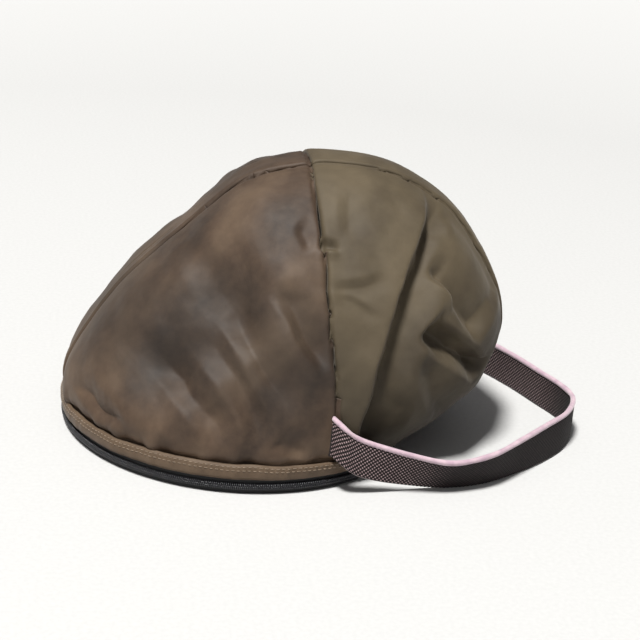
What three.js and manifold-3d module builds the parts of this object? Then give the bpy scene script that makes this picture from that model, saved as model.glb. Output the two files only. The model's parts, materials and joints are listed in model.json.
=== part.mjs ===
// Padded zip-round hand muff with a webbing wrist loop, in millimetres, +Z up.
// The base lies on z = 0, the zipped end points to -X, the wrist loop lies out to +X,
// and the body is the same on both sides of the plane y = 0, its near side being at -Y.
import * as THREE from 'three';
import { mergeVertices } from 'three/addons/utils/BufferGeometryUtils.js';
import Module from 'manifold-3d';

const wasm = await Module();
wasm.setup();

// ---- Driving dimensions ----

const RIM_RADIUS = 122;            // the zip runs round a circle about the Z axis
const HEIGHT = 194;                // top of the dome
const APEX_X = 40;                 // where the dome is highest
const GAP = 0.3;                   // left between pieces that touch

const SHELL_THICK = 1.2;           // outer nylon with its backing
const PADDING_THICK = 8;           // insulation between shell and lining
const LINING_THICK = 1;

const SEAM_FOOT_X = 54;            // the cross seam at the floor
const SEAM_TOP_X = 30;             // and at the top of the dome
const STRIP_HALF_WIDTH = 15;       // top strip between the two sides
const STRIP_TAPER_X = [20, -60];   // towards -X the strip narrows between these two places
const STRIP_TIP_HALF_WIDTH = 6;    // to this, and on to the zipped end
const STRIP_TIP_SHIFT = 5;         // there it lies this far towards +Y

const HINGE_X = 74;                // the base flap folds along this line
const FLAP_INNER_RADIUS = 113;     // its padding stays this side of the zip slider
const FLOOR_OUTER = [0, 0.9];      // heights of the layers of the base
const FLOOR_PADDING = [1.2, 8.7];
const FLOOR_LINING = [9, 10];

const TAPE_THICK = 1.2;
const CHAIN_DEPTH = 1.8;           // how far the coil stands out from the tape
const LOWER_TAPE = [1.2, 4.6];     // heights of the zip pieces and the hem
const LOWER_CHAIN = [3.2, 4.6];
const UPPER_CHAIN = [6, 7.4];
const UPPER_TAPE = [6, 9.4];
const HEM = [9.7, 19.7];
const HEM_THICK = 1.6;
const ZIP_END_DEG = 55;            // the zip ends this far round from +X on both sides
const STOP_DEG = 1.2;              // length of an end stop along the rim
const STOP_CLEAR_DEG = 0.2;        // and from there to the first tooth

const SLIDER_LENGTH = 13;
const SLIDER_PLATE = 1.3;
const SLIDER_HEIGHTS = [2, 8.8];
const SLIDER_FACE_CLEAR = 0.5;     // slider plates to the coil in front and the tape behind
const SLIDER_BACK_CLEAR = 1;
const SLIDER_POST = [4.85, 5.75];  // heights of the wedge between the two halves of the zip
const SLIDER_POST_LENGTH = 5;
const SLIDER_REST_DEG = 64;        // parked near the +Y end of the zip
const PIN_RADIUS = 0.8;
const PIN_STAND_OFF = 2.4;         // pin centre above the face of the slider
const LUG_HALF_LENGTH = 1.3;
const LUG_THICK = 1;
const PULL_LENGTH = 24;
const PULL_THICK = 1.6;
const PULL_EYE_RADIUS = 2;
const PULL_EYE_BORE = 1.1;
const JOIN = 0.5;                  // how far the blocks of one casting run into each other
const EASE = 0.2;                  // metal round the ends of the pin

const WEB_WIDTH = 24;              // wrist loop webbing, standing on its edge
const WEB_THICK = 2.2;
const EDGING = 3.7;                // soft edging along the upper edge of the webbing
const PATCH_THICK = 1;             // stitched patch under each end of the loop
const PATCH_LENGTH = 7;
const PATCH_HEIGHT = 20;

// How finely the body, the rim and the loop are faceted.
const RINGS = 11;
const SIDES = 32;
const RIM_STEPS = 32;

const COLOR = {
  zippedSide: '#5b4d40',
  slackSide: '#5f5646',
  strip: '#776c5b',
  hem: '#63503f',
  padding: '#d8d4c8',
  lining: '#4a4038',
  black: '#1e1e20',
  coil: '#2a2a2d',
  metal: '#3c3c40',
  webbing: '#44393a',
  edging: '#d8c4c8',
};

// ---- Body surface ----

// Outline of the body in the plane y = 0, from just below the floor up to the apex.
const LEFT_OUTLINE = [[-121, -16], [-122, 0], [-123.5, 18], [-117, 52], [-89, 98], [-50, 138],
  [-8, 178], [APEX_X, HEIGHT]];
const RIGHT_OUTLINE = [[72, -16], [100, 0], [140, 20], [166, 45], [179, 72], [178, 94], [169, 118],
  [151, 146], [130, 168], [90, 189], [APEX_X, HEIGHT]];
const LOWEST_RING = -15;
const WIDTH_POWER = 2.3;           // how soon the sides close towards the top
const CORNER_POWER = 10;           // sharpness of the corners at the blunt end of the base
const ROUND_BY = 60;               // those corners are gone at this height

function outlineAt(points) {
  const curve = new THREE.SplineCurve(points.map(([x, z]) => new THREE.Vector2(x, z)));
  const samples = curve.getPoints(300);
  return (z) => {
    const after = samples.findIndex((p) => p.y >= z);
    if (after < 1) return samples[after === 0 ? 0 : samples.length - 1].x;
    const [a, b] = [samples[after - 1], samples[after]];
    return a.x + ((b.x - a.x) * (z - a.y)) / (b.y - a.y);
  };
}

const leftAt = outlineAt(LEFT_OUTLINE);
const rightAt = outlineAt(RIGHT_OUTLINE);

function halfWidthAt(z) {
  return RIM_RADIUS * Math.sqrt(Math.max(0, 1 - (Math.max(z, 0) / HEIGHT) ** WIDTH_POWER));
}

// A point of the body surface: z is the height, turn runs 0..2 pi from +X towards +Y.
function surfacePoint(z, turn) {
  const c = Math.cos(turn);
  const s = Math.sin(turn);
  const middle = (APEX_X * Math.max(z, 0)) / HEIGHT;
  const halfWidth = halfWidthAt(z);
  if (c <= 0) return new THREE.Vector3(middle + (middle - leftAt(z)) * c, halfWidth * s, z);
  const reach = Math.max(rightAt(z) - middle, 1);
  const roundness = THREE.MathUtils.smoothstep(z, 0, ROUND_BY);
  const semi = THREE.MathUtils.lerp(Math.max(halfWidth, reach), reach, roundness);
  const cut = reach / semi;
  const shrink = cut < 1 ? (1 + (c / cut) ** CORNER_POWER) ** (-1 / CORNER_POWER) : 1;
  return new THREE.Vector3(middle + semi * c * shrink, halfWidth * s * shrink, z);
}

function surfaceNormal(z, turn) {
  const up = surfacePoint(z + 0.5, turn).sub(surfacePoint(z - 0.5, turn));
  const along = surfacePoint(z, turn + 0.02).sub(surfacePoint(z, turn - 0.02));
  return along.cross(up).normalize();
}

// ---- Solids ----

function toManifold(geometry) {
  geometry.deleteAttribute('normal');
  geometry.deleteAttribute('uv');
  const merged = mergeVertices(geometry, 1e-4);
  return new wasm.Manifold(new wasm.Mesh({
    numProp: 3,
    vertProperties: new Float32Array(merged.attributes.position.array),
    triVerts: new Uint32Array(merged.index.array),
  }));
}

// Closed sections of equal size, one after another, with their caps; the last may close on a tip.
function loft(sections, firstTip, lastTip) {
  const size = sections[0].length;
  const points = [...sections.flat(), firstTip, lastTip];
  const first = points.length - 2;
  const last = first + 1;
  const index = [];
  for (let j = 0; j < size; j += 1) {
    const k = (j + 1) % size;
    for (let i = 0; i + 1 < sections.length; i += 1) {
      const [a, b] = [i * size + j, i * size + k];
      index.push(a, b, b + size, a, b + size, a + size);
    }
    const end = (sections.length - 1) * size;
    index.push(end + j, end + k, last);
    index.push(k, j, first);
  }
  const geometry = new THREE.BufferGeometry().setFromPoints(points);
  geometry.setIndex(index);
  return geometry;
}

// The body as a solid, its surface moved inwards by depth; it runs on below the floor.
function bodySolid(depth) {
  const sections = [];
  for (let i = 0; i < RINGS; i += 1) {
    const rise = Math.sin((i / RINGS) * (Math.PI / 2)) ** 1.15;
    const z = LOWEST_RING + (HEIGHT - LOWEST_RING) * rise;
    sections.push(Array.from({ length: SIDES }, (_, j) => {
      const turn = (2 * Math.PI * j) / SIDES;
      return surfacePoint(z, turn).addScaledVector(surfaceNormal(z, turn), -depth);
    }));
  }
  const top = new THREE.Vector3(APEX_X, 0, HEIGHT - depth);
  return toManifold(loft(sections, new THREE.Vector3(0, 0, LOWEST_RING), top));
}

function box([x0, x1], [y0, y1], [z0, z1]) {
  const geometry = new THREE.BoxGeometry(x1 - x0, y1 - y0, z1 - z0);
  return geometry.translate((x0 + x1) / 2, (y0 + y1) / 2, (z0 + z1) / 2);
}

const boxSolid = (...sides) => toManifold(box(...sides));

// An outline in x and y, given as points, standing over a range of heights.
function prism(points, [z0, z1]) {
  const shape = new THREE.Shape(points.map(([x, y]) => new THREE.Vector2(x, y)));
  const geometry = new THREE.ExtrudeGeometry(shape, { depth: z1 - z0, bevelEnabled: false, steps: 1 });
  return geometry.translate(0, 0, z0);
}

const onCircle = (radius, deg) => {
  const angle = THREE.MathUtils.degToRad(deg);
  return [radius * Math.cos(angle), radius * Math.sin(angle)];
};

// A strip round the rim between two radii, over the given angles in degrees from +X.
function rimStrip([inner, outer], heights, fromDeg, toDeg, steps = RIM_STEPS) {
  const angles = Array.from({ length: steps + 1 }, (_, i) => fromDeg + ((toDeg - fromDeg) * i) / steps);
  const outside = angles.map((deg) => onCircle(outer, deg));
  const inside = angles.reverse().map((deg) => onCircle(inner, deg));
  return prism([...outside, ...inside], heights);
}

const FAR = 400;
const EVERYWHERE = [-FAR, FAR];

// Everything on the zipped side of the cross seam (side = -1) or past it (side = +1).
function seamSide(side) {
  const xAt = (z) => SEAM_FOOT_X + ((SEAM_TOP_X - SEAM_FOOT_X) * z) / HEIGHT + (side * GAP) / 2;
  const outline = [[xAt(-FAR), -FAR], [side * FAR, -FAR], [side * FAR, FAR], [xAt(FAR), FAR]];
  return toManifold(prism(side < 0 ? outline.reverse() : outline, EVERYWHERE).rotateX(Math.PI / 2));
}

// The space over the top strip, grown by margin on each side.
function stripSpace(margin) {
  const [wide, tip] = [STRIP_HALF_WIDTH + margin, STRIP_TIP_HALF_WIDTH + margin];
  const [from, to] = STRIP_TAPER_X;
  const edge = (side) => [[-FAR, STRIP_TIP_SHIFT + side * tip], [to, STRIP_TIP_SHIFT + side * tip],
    [from, side * wide], [FAR, side * wide]];
  return toManifold(prism([...edge(-1), ...edge(1).reverse()], EVERYWHERE));
}

function discSolid(radius, heights) {
  const points = Array.from({ length: 72 }, (_, i) => onCircle(radius, i * 5));
  return toManifold(prism(points, heights));
}

// ---- Pieces ----

const group = new THREE.Group();

function add(name, geometry, color, roughness = 0.7, metalness = 0) {
  const mesh = new THREE.Mesh(geometry, new THREE.MeshStandardMaterial({ color, roughness, metalness }));
  mesh.name = name;
  group.add(mesh);
}

// The largest piece of a cut solid; slivers left by the cut are dropped.
function addSolid(name, solid, color, roughness, metalness) {
  const [largest] = solid.decompose().sort((a, b) => b.volume() - a.volume());
  const { vertProperties, triVerts } = largest.getMesh();
  const geometry = new THREE.BufferGeometry();
  geometry.setAttribute('position', new THREE.BufferAttribute(new Float32Array(vertProperties), 3));
  geometry.setIndex(new THREE.BufferAttribute(new Uint32Array(triVerts), 1));
  add(name, geometry, color, roughness, metalness);
}

const outerBody = bodySolid(0);
const paddingDepth = SHELL_THICK + GAP;
const liningDepth = paddingDepth + PADDING_THICK + GAP;
const shellInside = bodySolid(SHELL_THICK);
const paddingBody = bodySolid(paddingDepth);
const HALVES = [['zipped', -1, COLOR.zippedSide], ['slack', 1, COLOR.slackSide]];
const CHEEKS = [['near', [-FAR, 0]], ['far', [0, FAR]]];

function addPanels() {
  const aboveZip = boxSolid(EVERYWHERE, EVERYWHERE, [HEM[0], FAR]);
  const pastHinge = boxSolid([HINGE_X + 2 * GAP, FAR], EVERYWHERE, [0, FAR]);
  const shell = outerBody.subtract(shellInside).intersect(aboveZip.add(pastHinge));
  const strip = stripSpace(-GAP / 2);
  const besideStrip = stripSpace(GAP / 2);
  for (const [half, side, color] of HALVES) {
    const part = shell.intersect(seamSide(side));
    addSolid(`top_strip_${half}`, part.intersect(strip), COLOR.strip);
    for (const [cheek, range] of CHEEKS) {
      const cut = part.subtract(besideStrip).intersect(boxSolid(EVERYWHERE, range, EVERYWHERE));
      addSolid(`${cheek}_panel_${half}`, cut, color);
    }
  }
}

function addInnerLayers() {
  const aboveFloor = boxSolid(EVERYWHERE, EVERYWHERE, [FLOOR_LINING[1] + 1, FAR]);
  const padding = paddingBody.subtract(bodySolid(liningDepth - GAP)).intersect(aboveFloor);
  const liningBody = bodySolid(liningDepth);
  const lining = liningBody.subtract(bodySolid(liningDepth + LINING_THICK)).intersect(aboveFloor);
  for (const [half, side] of HALVES) {
    addSolid(`padding_${half}`, padding.intersect(seamSide(side)), COLOR.padding);
    addSolid(`lining_${half}`, lining.intersect(seamSide(side)), COLOR.lining);
  }
}

// The base: a flap that the zip frees, and the toe that stays sewn to the body.
function addBase() {
  const flapSpace = boxSolid([-FAR, HINGE_X - GAP], EVERYWHERE, EVERYWHERE);
  const toeSpace = boxSolid([HINGE_X + 2 * GAP, FAR], EVERYWHERE, EVERYWHERE);
  const layers = [['outer', FLOOR_OUTER, COLOR.zippedSide], ['padding', FLOOR_PADDING, COLOR.padding],
    ['lining', FLOOR_LINING, COLOR.lining]];
  for (const [layer, heights, color] of layers) {
    const radius = layer === 'outer' ? RIM_RADIUS : FLAP_INNER_RADIUS;
    addSolid(`flap_${layer}`, discSolid(radius, heights).intersect(flapSpace), color);
    const slab = boxSolid(EVERYWHERE, EVERYWHERE, heights);
    addSolid(`toe_${layer}`, paddingBody.intersect(slab).intersect(toeSpace), color);
  }
}

function addHem() {
  const band = bodySolid(-GAP - HEM_THICK).subtract(bodySolid(-GAP));
  const slab = boxSolid([-FAR, HINGE_X], EVERYWHERE, HEM);
  addSolid('hem_band', band.intersect(slab), COLOR.hem);
}

function addZip() {
  const tape = [RIM_RADIUS - TAPE_THICK, RIM_RADIUS];
  const chain = [RIM_RADIUS + GAP, RIM_RADIUS + GAP + CHAIN_DEPTH];
  const ends = [ZIP_END_DEG, 360 - ZIP_END_DEG];
  add('zip_tape_lower', rimStrip(tape, LOWER_TAPE, ...ends), COLOR.black);
  add('zip_tape_upper', rimStrip(tape, UPPER_TAPE, ...ends), COLOR.black);
  const inset = STOP_DEG + STOP_CLEAR_DEG;
  add('zip_chain_lower', rimStrip(chain, LOWER_CHAIN, ends[0] + inset, ends[1] - inset), COLOR.coil, 0.4);
  add('zip_chain_upper', rimStrip(chain, UPPER_CHAIN, ends[0] + inset, ends[1] - inset), COLOR.coil, 0.4);
  for (const [name, start] of [['far', ends[0]], ['near', ends[1] - STOP_DEG]]) {
    add(`zip_stop_${name}`, rimStrip(chain, UPPER_TAPE, start, start + STOP_DEG, 2), COLOR.metal, 0.35, 0.8);
  }
}

// The slider is built at the angle 0, facing +X, and turned to its place on the rim.
const backPlate = RIM_RADIUS - TAPE_THICK - SLIDER_BACK_CLEAR - SLIDER_PLATE;
const facePlate = RIM_RADIUS + GAP + CHAIN_DEPTH + SLIDER_FACE_CLEAR;
const face = facePlate + SLIDER_PLATE;
const pinRadiusFromAxis = face + PIN_STAND_OFF;

function addSlider() {
  const along = [-SLIDER_LENGTH / 2, SLIDER_LENGTH / 2];
  const alongPost = [-SLIDER_POST_LENGTH / 2, SLIDER_POST_LENGTH / 2];
  const alongLug = [-LUG_HALF_LENGTH, LUG_HALF_LENGTH];
  const [low, high] = SLIDER_HEIGHTS;
  const lugReach = [face - JOIN, pinRadiusFromAxis + PIN_RADIUS + EASE];
  const pin = new THREE.CylinderGeometry(PIN_RADIUS, PIN_RADIUS, high - low - EASE, 12);
  pin.rotateX(Math.PI / 2).translate(pinRadiusFromAxis, 0, (low + high) / 2);
  const slider = [
    box([backPlate, backPlate + SLIDER_PLATE], along, SLIDER_HEIGHTS),
    box([facePlate, face], along, SLIDER_HEIGHTS),
    box([backPlate + JOIN, facePlate + JOIN], alongPost, SLIDER_POST),
    box(lugReach, alongLug, [low, low + LUG_THICK]),
    box(lugReach, alongLug, [high - LUG_THICK, high]),
    pin,
  ].map(toManifold).reduce((all, piece) => all.add(piece));
  addSolid('zip_slider', slider.rotate([0, 0, SLIDER_REST_DEG]), COLOR.metal, 0.35, 0.8);
}

// The pull lies back along the rim towards the near end of the zip, its eye round the slider's pin.
function addPull() {
  const [low, high] = SLIDER_HEIGHTS;
  const middle = (low + high) / 2;
  const eyeHalf = (high - low) / 2 - LUG_THICK - GAP;
  const ring = new THREE.LatheGeometry([[PULL_EYE_BORE, -eyeHalf], [PULL_EYE_RADIUS, -eyeHalf],
    [PULL_EYE_RADIUS, eyeHalf], [PULL_EYE_BORE, eyeHalf], [PULL_EYE_BORE, -eyeHalf]]
    .map(([r, y]) => new THREE.Vector2(r, y)), 16);
  const neckFrom = PULL_EYE_RADIUS - EASE;
  const bladeFrom = pinReach() + GAP;
  const thick = [-PULL_THICK / 2, PULL_THICK / 2];
  const pull = [
    ring.rotateX(Math.PI / 2),
    box(thick, [-bladeFrom - JOIN, -neckFrom], [-eyeHalf, eyeHalf]),
    box(thick, [-PULL_LENGTH, -bladeFrom], [low - middle, high - middle]),
  ].map(toManifold).reduce((all, piece) => all.add(piece));
  addSolid('zip_pull', pull.translate([pinRadiusFromAxis, 0, middle]).rotate([0, 0, SLIDER_REST_DEG]),
    COLOR.metal, 0.35, 0.8);
}

// How far the lugs reach from the pin's axis.
function pinReach() {
  return Math.hypot(LUG_HALF_LENGTH, PIN_STAND_OFF);
}

// The wrist loop, from its near end round to its far end: x, y, height of its lower edge above the
// floor, and how far its upper edge leans out for each unit of height.
const LOOP_ROUTE = [
  [51, -121.6, 28, 0], [61, -121.4, 17.5, 0], [76, -119.5, 10, 0.08], [97, -115, 5, 0.3],
  [125, -109.5, 0.6, 0.5], [152, -103.5, 0.6, 0.34], [180, -87, 0.6, 0.08], [206, -66, 0.6, -0.08],
  [225, -44, 0.6, -0.04], [235.5, -18, 0.6, 0], [233, 4, 0.6, 0], [223, 29, 0.6, 0], [209, 62, 0.6, 0],
  [190, 94, 0.6, 0], [161, 117, 0.6, 0.05], [126, 125, 0.6, 0.1], [96, 125, 5, 0.1],
  [76, 122.4, 10, 0.05], [61, 121.4, 17.5, 0], [51, 121.6, 28, 0],
];
const LOOP_STEPS = 48;
const LOOP_WIDTH = WEB_WIDTH + GAP + EDGING;

// Frames along the loop: the lower edge, the direction up the web and the direction out of its face.
function loopFrames() {
  const edge = new THREE.CatmullRomCurve3(LOOP_ROUTE.map(([x, y, lift]) => new THREE.Vector3(x, y, lift)));
  const leans = new THREE.CatmullRomCurve3(LOOP_ROUTE.map(([, , , lean]) => new THREE.Vector3(lean, 0, 0)));
  return Array.from({ length: LOOP_STEPS + 1 }, (_, i) => {
    const t = i / LOOP_STEPS;
    const ahead = edge.getTangent(t).setZ(0).normalize();
    const outwards = new THREE.Vector3(ahead.y, -ahead.x, 0);
    const up = new THREE.Vector3(0, 0, 1).addScaledVector(outwards, leans.getPoint(t).x).normalize();
    const out = new THREE.Vector3().crossVectors(ahead, up).normalize();
    return { at: edge.getPoint(t), up, out };
  });
}

// A solid along the loop; its section is a list of places out of the face and up the web.
function alongLoop(frames, section) {
  const sections = frames.map(({ at, up, out }) => section.map(
    ([outBy, upBy]) => at.clone().addScaledVector(out, outBy).addScaledVector(up, upBy),
  ));
  const middle = (points) => points.reduce((sum, p) => sum.add(p), new THREE.Vector3())
    .divideScalar(points.length);
  return loft(sections, middle(sections[0]), middle(sections.at(-1)));
}

function addLoop() {
  const frames = loopFrames();
  const half = WEB_THICK / 2;
  const web = [[-half, 0], [-half, WEB_WIDTH], [half, WEB_WIDTH], [half, 0]];
  add('loop_webbing', alongLoop(frames, web), COLOR.webbing);
  const radius = EDGING / 2;
  const edging = Array.from({ length: 8 }, (_, i) => {
    const [x, y] = onCircle(radius, 22.5 - i * 45);
    return [x, y + LOOP_WIDTH - radius];
  });
  add('loop_edging', alongLoop(frames, edging), COLOR.edging);
}

// A stitched patch on each side of the body, hidden under the end of the loop.
function addPatches() {
  const [x, , low] = LOOP_ROUTE[0];
  const skin = bodySolid(-GAP - PATCH_THICK).subtract(bodySolid(-GAP));
  const column = boxSolid([x, x + PATCH_LENGTH], EVERYWHERE, [low, low + PATCH_HEIGHT]);
  for (const [cheek, range] of CHEEKS) {
    const patch = skin.intersect(column).intersect(boxSolid(EVERYWHERE, range, EVERYWHERE));
    addSolid(`loop_patch_${cheek}`, patch, COLOR.webbing);
  }
}

addPanels();
addInnerLayers();
addBase();
addHem();
addZip();
addSlider();
addPull();
addLoop();
addPatches();

export default group;
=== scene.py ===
"""Padded zip-round muff with a webbing wrist loop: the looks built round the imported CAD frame.

Everything is worked out in millimetres in the frame's own axes and scaled to metres as it becomes a
mesh: +Z up, the floor at z = 0, the zipped end at -X, the wrist loop out at +X, the near side at -Y.
"""
import json
import math

import bmesh
import bpy
import numpy as np
from mathutils import Matrix, Vector

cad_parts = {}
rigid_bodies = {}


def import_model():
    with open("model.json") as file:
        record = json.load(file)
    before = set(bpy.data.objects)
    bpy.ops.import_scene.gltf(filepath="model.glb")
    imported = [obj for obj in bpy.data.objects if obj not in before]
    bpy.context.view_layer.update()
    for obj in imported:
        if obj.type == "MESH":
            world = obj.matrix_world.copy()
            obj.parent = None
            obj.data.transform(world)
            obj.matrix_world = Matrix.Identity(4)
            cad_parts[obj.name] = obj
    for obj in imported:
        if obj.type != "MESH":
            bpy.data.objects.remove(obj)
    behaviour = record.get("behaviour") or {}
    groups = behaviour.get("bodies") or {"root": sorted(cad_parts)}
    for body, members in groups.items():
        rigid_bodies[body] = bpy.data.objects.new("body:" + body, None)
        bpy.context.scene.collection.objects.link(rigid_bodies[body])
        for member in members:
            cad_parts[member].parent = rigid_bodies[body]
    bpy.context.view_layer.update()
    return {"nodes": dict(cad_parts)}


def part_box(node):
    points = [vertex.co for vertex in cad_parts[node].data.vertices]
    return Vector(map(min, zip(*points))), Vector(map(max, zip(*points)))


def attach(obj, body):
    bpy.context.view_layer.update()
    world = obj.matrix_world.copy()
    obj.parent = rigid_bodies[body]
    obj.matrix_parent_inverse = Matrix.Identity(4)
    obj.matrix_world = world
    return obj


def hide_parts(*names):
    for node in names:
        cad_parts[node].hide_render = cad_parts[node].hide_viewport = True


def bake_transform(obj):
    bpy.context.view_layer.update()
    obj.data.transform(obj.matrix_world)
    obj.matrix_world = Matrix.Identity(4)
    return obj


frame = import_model()

MM = 0.001


def box_mm(node):
    low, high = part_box(node)
    return np.array(low) / MM, np.array(high) / MM


# ---- Driving sizes, in millimetres; those that the frame holds are read from it ----

RIM_RADIUS = box_mm("flap_outer")[1][1]
HEIGHT = box_mm("top_strip_slack")[1][2]
HINGE_X = box_mm("flap_outer")[1][0] + 0.3
HEM_LOW, HEM_HIGH = box_mm("hem_band")[0][2], box_mm("hem_band")[1][2]
APEX_X = 40.0
SEAM_FOOT_X = 58.0
SEAM_TOP_X = 32.5
STRIP_HALF_WIDTH = 15.0
STRIP_TAPER_X = (20.0, -60.0)
STRIP_TIP_HALF_WIDTH = 6.0
STRIP_TIP_SHIFT = 5.0

CLOTH_THICK = 0.8
FOLD_SHEET = (0.02, 0.3)      # heights of the cloth that the flap folds on
FOLD_REACH = 4.0              # and how far it lies under each side

# Outline of the body in the plane y = 0, as (x, z), from below the floor up to the apex.
LEFT_OUTLINE = [(-121, -16), (-122, 0), (-123.5, 18), (-117, 52), (-89, 98), (-50, 138), (-8, 178),
                (APEX_X, HEIGHT)]
RIGHT_OUTLINE = [(72, -16), (100, 0), (140, 20), (166, 45), (179, 72), (178, 94), (169, 118),
                 (151, 146), (130, 168), (90, 189), (APEX_X, HEIGHT)]
WIDTH_POWER = 2.3
CORNER_POWER = 10
ROUND_BY = 60.0


# ---- Numbers ----

def smoothstep(value, low, high):
    t = np.clip((value - low) / (high - low), 0.0, 1.0)
    return t * t * (3 - 2 * t)


def bump(distance, width):
    return np.exp(-((distance / width) ** 2))


def spline(points, samples):
    """A Catmull-Rom curve through points, uniform, with clamped ends."""
    p = np.array(points, float)
    ends = np.vstack([2 * p[:1] - p[1:2], p, 2 * p[-1:] - p[-2:-1]])
    u = np.linspace(0, len(p) - 1, samples)
    i = np.minimum(u.astype(int), len(p) - 2)
    t = (u - i)[:, None]
    a, b, c, d = ends[i], ends[i + 1], ends[i + 2], ends[i + 3]
    square = t ** 2 * (a - 2.5 * b + 2 * c - 0.5 * d)
    cube = t ** 3 * (1.5 * (b - c) + 0.5 * (d - a))
    return b + 0.5 * t * (c - a) + square + cube


def outline_at(points):
    curve = spline(points, 400)
    return lambda z: np.interp(z, curve[:, 1], curve[:, 0])


left_at = outline_at(LEFT_OUTLINE)
right_at = outline_at(RIGHT_OUTLINE)


def surface_points(z, turn):
    """Points of the body's surface; turn runs from +X towards +Y."""
    z, turn = np.broadcast_arrays(np.asarray(z, float), np.asarray(turn, float))
    c, s = np.cos(turn), np.sin(turn)
    up = np.maximum(z, 0)
    middle = APEX_X * up / HEIGHT
    half_width = RIM_RADIUS * np.sqrt(np.maximum(0, 1 - (up / HEIGHT) ** WIDTH_POWER))
    reach = np.maximum(right_at(z) - middle, 1)
    roundness = smoothstep(z, 0, ROUND_BY)
    semi = np.maximum(half_width, reach) * (1 - roundness) + reach * roundness
    cut = reach / semi
    shrink = np.where(cut < 1, (1 + (np.maximum(c, 0) / cut) ** CORNER_POWER) ** (-1 / CORNER_POWER), 1)
    x = np.where(c > 0, middle + semi * c * shrink, middle + (middle - left_at(z)) * c)
    return np.stack([x, half_width * s * np.where(c > 0, shrink, 1), z], -1)


def surface_normals(z, turn):
    z, turn = np.broadcast_arrays(np.asarray(z, float), np.asarray(turn, float))
    up = surface_points(z + 0.5, turn) - surface_points(z - 0.5, turn)
    along = surface_points(z, turn + 0.02) - surface_points(z, turn - 0.02)
    normal = np.cross(along, up)
    return normal / np.maximum(np.linalg.norm(normal, axis=-1, keepdims=True), 1e-9)


def value_noise(points, seed):
    """Smooth noise between -1 and 1 at each row of an (n, 3) array."""
    base = np.floor(points).astype(np.int64)
    f = points - base
    f = f * f * f * (f * (f * 6 - 15) + 10)
    total = np.zeros(len(points))
    for corner in range(8):
        offset = np.array([corner & 1, corner >> 1 & 1, corner >> 2 & 1])
        x, y, z = (base + offset).T
        mixed = (x * 73856093) ^ (y * 19349663) ^ (z * 83492791) ^ (seed * 26544357)
        mixed = ((mixed ^ (mixed >> 13)) * 1274126177) & 0x7FFFFFFF
        mixed = (mixed ^ (mixed >> 15)) & 0xFFFF
        total += np.prod(np.where(offset, f, 1 - f), axis=1) * (mixed / 32767.5 - 1)
    return total


def fractal(points, octaves, seed):
    return sum(value_noise(points * 2 ** i, seed + i) / 2 ** i for i in range(octaves))


def polyline_distance(points, line):
    """For 2-D points: distance to a line, side of it (+1 to its right), share along it, the way to it."""
    lengths = np.linalg.norm(np.diff(line, axis=0), axis=1)
    starts = np.concatenate([[0], np.cumsum(lengths)])
    best, side, along = np.full(len(points), 1e9), np.zeros(len(points)), np.zeros(len(points))
    way = np.zeros((len(points), 2))
    for a, b, start, length in zip(line[:-1], line[1:], starts, lengths):
        ahead = (b - a) / length
        rel = points - a
        t = np.clip(rel @ ahead, 0, length)
        across = t[:, None] * ahead - rel
        distance = np.linalg.norm(across, axis=1)
        near = distance < best
        best = np.where(near, distance, best)
        side = np.where(near, np.sign(rel[:, 0] * ahead[1] - rel[:, 1] * ahead[0]), side)
        along = np.where(near, (start + t) / starts[-1], along)
        way = np.where(near[:, None], across / np.maximum(distance, 1e-6)[:, None], way)
    return best, side, along, way


# ---- Meshes ----

def new_object(name, vertices_mm, faces):
    mesh = bpy.data.meshes.new(name)
    mesh.from_pydata((np.asarray(vertices_mm, float) * MM).tolist(), [], [tuple(f) for f in faces])
    mesh.shade_smooth()
    obj = bpy.data.objects.new(name, mesh)
    bpy.context.scene.collection.objects.link(obj)
    return obj


def get_vectors(obj, name):
    values = np.empty(len(obj.data.vertices) * 3)
    obj.data.vertices.foreach_get(name, values)
    return values.reshape(-1, 3)


def get_points(obj):
    return get_vectors(obj, "co") / MM


def set_points(obj, points):
    obj.data.vertices.foreach_set("co", (points * MM).ravel())
    obj.data.update()


def get_normals(obj):
    return get_vectors(obj, "normal")


def apply_modifiers(obj):
    depsgraph = bpy.context.evaluated_depsgraph_get()
    mesh = bpy.data.meshes.new_from_object(obj.evaluated_get(depsgraph))
    obj.modifiers.clear()
    obj.data = mesh
    mesh.shade_smooth()


def subdivide_twice(obj):
    modifier = obj.modifiers.new("fine", "SUBSURF")
    modifier.levels = modifier.render_levels = 2
    apply_modifiers(obj)


def grid_faces(rows, columns):
    """Quads over points laid row by row, with the last column joined to the first."""
    faces = []
    for low in range(0, (rows - 1) * columns, columns):
        for j in range(columns):
            k = (j + 1) % columns
            faces.append((low + j, low + k, low + columns + k, low + columns + j))
    return faces


def tube_parts(sections):
    """Vertices and faces of a closed tube through equal sections, an (n, k, 3) array, with flat ends."""
    sections = np.asarray(sections, float)
    n, k = sections.shape[:2]
    ends = [tuple(range(k)), tuple(range(n * k - 1, (n - 1) * k - 1, -1))]
    return sections.reshape(-1, 3), grid_faces(n, k) + ends


def capsule(path, radius):
    """A short thread lying along three points: its two ends and its raised middle."""
    a, b, c = np.asarray(path, float)
    ahead = (c - a) / np.linalg.norm(c - a)
    side = np.cross(ahead, (0.31, 0.2, 0.93))
    side /= np.linalg.norm(side)
    up = np.cross(ahead, side)
    angles = np.arange(6) * 2 * math.pi / 6
    ring = np.cos(angles)[:, None] * side + np.sin(angles)[:, None] * up
    centres = [a, a * 0.75 + b * 0.25, b, c * 0.75 + b * 0.25, c]
    return tube_parts([at + ring * radius * share for at, share in zip(centres, (0.3, 0.85, 1, 0.85, 0.3))])


def join(name, parts):
    vertices, faces, count = [], [], 0
    for points, part_faces in parts:
        vertices.append(points)
        faces.extend([tuple(i + count for i in face) for face in part_faces])
        count += len(points)
    return closed_object(name, np.vstack(vertices), faces)


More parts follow.
